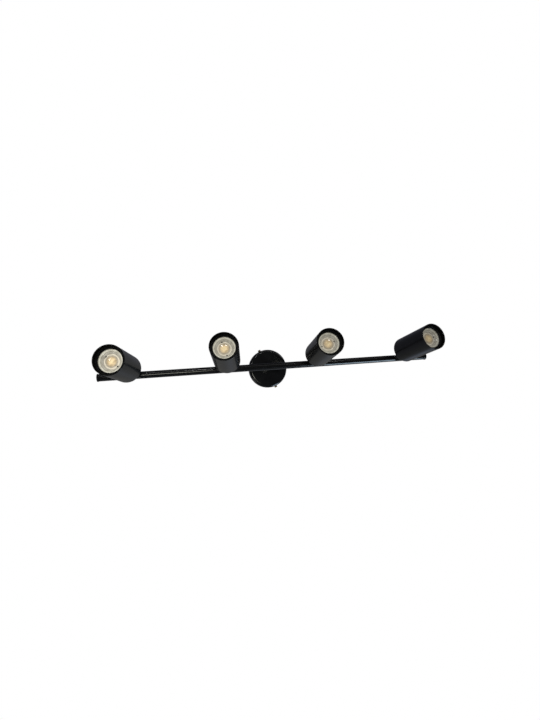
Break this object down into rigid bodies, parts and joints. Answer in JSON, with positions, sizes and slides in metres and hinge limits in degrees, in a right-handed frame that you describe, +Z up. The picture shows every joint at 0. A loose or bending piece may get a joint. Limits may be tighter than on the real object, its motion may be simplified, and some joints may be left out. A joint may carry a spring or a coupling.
{
  "type": "ceiling spotlight bar",
  "caption": "Black ceiling spot bar: round canopy, short stem and tube bar carrying cylindrical shades that swivel and tilt, each with a recessed reflector lamp.",
  "frame": {"origin": "centre of the mounting bracket's back, on the ceiling plane", "axes": "+Z up out of the ceiling side, +X along the bar, so the fixture hangs in -Z"},
  "size_m": [0.79, 0.1209, 0.2441],
  "materials": {
    "black_finish": "satin black powder coat on steel",
    "shade_finish": "smooth satin charcoal-black powder coat on steel",
    "black_plastic": "moulded black plastic, satin",
    "zinc_steel": "bright zinc plate",
    "brass": "turned brass",
    "ceramic": "unglazed ceramic, cream",
    "lamp_housing": "moulded white lamp housing",
    "lamp_lens": "clear moulded lens over a warm LED"
  },
  "bodies": {
    "root": {"ceiling_bracket": "zinc_steel", "earth_screw": "brass", "side_screw_1": "brass", "side_screw_2": "brass", "terminal_block": "ceramic", "canopy": "black_finish", "stem_nipple": "zinc_steel", "stem_nut": "zinc_steel", "stem_tube": "black_finish", "bar_tube": "black_finish", "end_cap_left": "black_plastic", "end_cap_right": "black_plastic", "swivel_seat_1": "black_finish", "swivel_seat_2": "black_finish", "swivel_seat_3": "black_finish", "swivel_seat_4": "black_finish"},
    "swivel_1": {"swivel_fork_1": "black_finish", "swivel_clip_1": "zinc_steel", "tilt_screw_1": "black_finish", "tilt_nut_1": "black_finish"},
    "head_1": {"shade_1": "shade_finish", "shade_lug_1": "black_finish", "holder_bracket_1": "zinc_steel", "lamp_holder_1": "ceramic", "lamp_body_1": "lamp_housing", "lamp_lens_1": "lamp_lens", "baffle_ring_1": "black_plastic"},
    "swivel_2": {"swivel_fork_2": "black_finish", "swivel_clip_2": "zinc_steel", "tilt_screw_2": "black_finish", "tilt_nut_2": "black_finish"},
    "head_2": {"shade_2": "shade_finish", "shade_lug_2": "black_finish", "holder_bracket_2": "zinc_steel", "lamp_holder_2": "ceramic", "lamp_body_2": "lamp_housing", "lamp_lens_2": "lamp_lens", "baffle_ring_2": "black_plastic"},
    "swivel_3": {"swivel_fork_3": "black_finish", "swivel_clip_3": "zinc_steel", "tilt_screw_3": "black_finish", "tilt_nut_3": "black_finish"},
    "head_3": {"shade_3": "shade_finish", "shade_lug_3": "black_finish", "holder_bracket_3": "zinc_steel", "lamp_holder_3": "ceramic", "lamp_body_3": "lamp_housing", "lamp_lens_3": "lamp_lens", "baffle_ring_3": "black_plastic"},
    "swivel_4": {"swivel_fork_4": "black_finish", "swivel_clip_4": "zinc_steel", "tilt_screw_4": "black_finish", "tilt_nut_4": "black_finish"},
    "head_4": {"shade_4": "shade_finish", "shade_lug_4": "black_finish", "holder_bracket_4": "zinc_steel", "lamp_holder_4": "ceramic", "lamp_body_4": "lamp_housing", "lamp_lens_4": "lamp_lens", "baffle_ring_4": "black_plastic"}
  },
  "joints": [
    {"name": "swivel_turn_1", "type": "hinge", "parent": "root", "child": "swivel_1", "pos_m": [-0.312, 0, -0.112], "axis": [0, 0, 1], "range_deg": [-116, 214]},
    {"name": "head_tilt_1", "type": "hinge", "parent": "swivel_1", "child": "head_1", "pos_m": [-0.312, 0, -0.13], "axis": [0.6561, -0.7547, 0], "range_deg": [-4.4, 84.6]},
    {"name": "swivel_turn_2", "type": "hinge", "parent": "root", "child": "swivel_2", "pos_m": [-0.104, 0, -0.112], "axis": [0, 0, 1], "range_deg": [-135, 195]},
    {"name": "head_tilt_2", "type": "hinge", "parent": "swivel_2", "child": "head_2", "pos_m": [-0.104, 0, -0.13], "axis": [0.866, -0.5, 0], "range_deg": [-0.6, 88.4]},
    {"name": "swivel_turn_3", "type": "hinge", "parent": "root", "child": "swivel_3", "pos_m": [0.104, 0, -0.112], "axis": [0, 0, 1], "range_deg": [-150, 180]},
    {"name": "head_tilt_3", "type": "hinge", "parent": "swivel_3", "child": "head_3", "pos_m": [0.104, 0, -0.13], "axis": [0.9659, -0.2588, 0], "range_deg": [-4.6, 84.4]},
    {"name": "swivel_turn_4", "type": "hinge", "parent": "root", "child": "swivel_4", "pos_m": [0.312, 0, -0.112], "axis": [0, 0, 1], "range_deg": [-200, 130]},
    {"name": "head_tilt_4", "type": "hinge", "parent": "swivel_4", "child": "head_4", "pos_m": [0.312, 0, -0.13], "axis": [0.8192, 0.5736, 0], "range_deg": [-1.2, 87.8]}
  ]
}
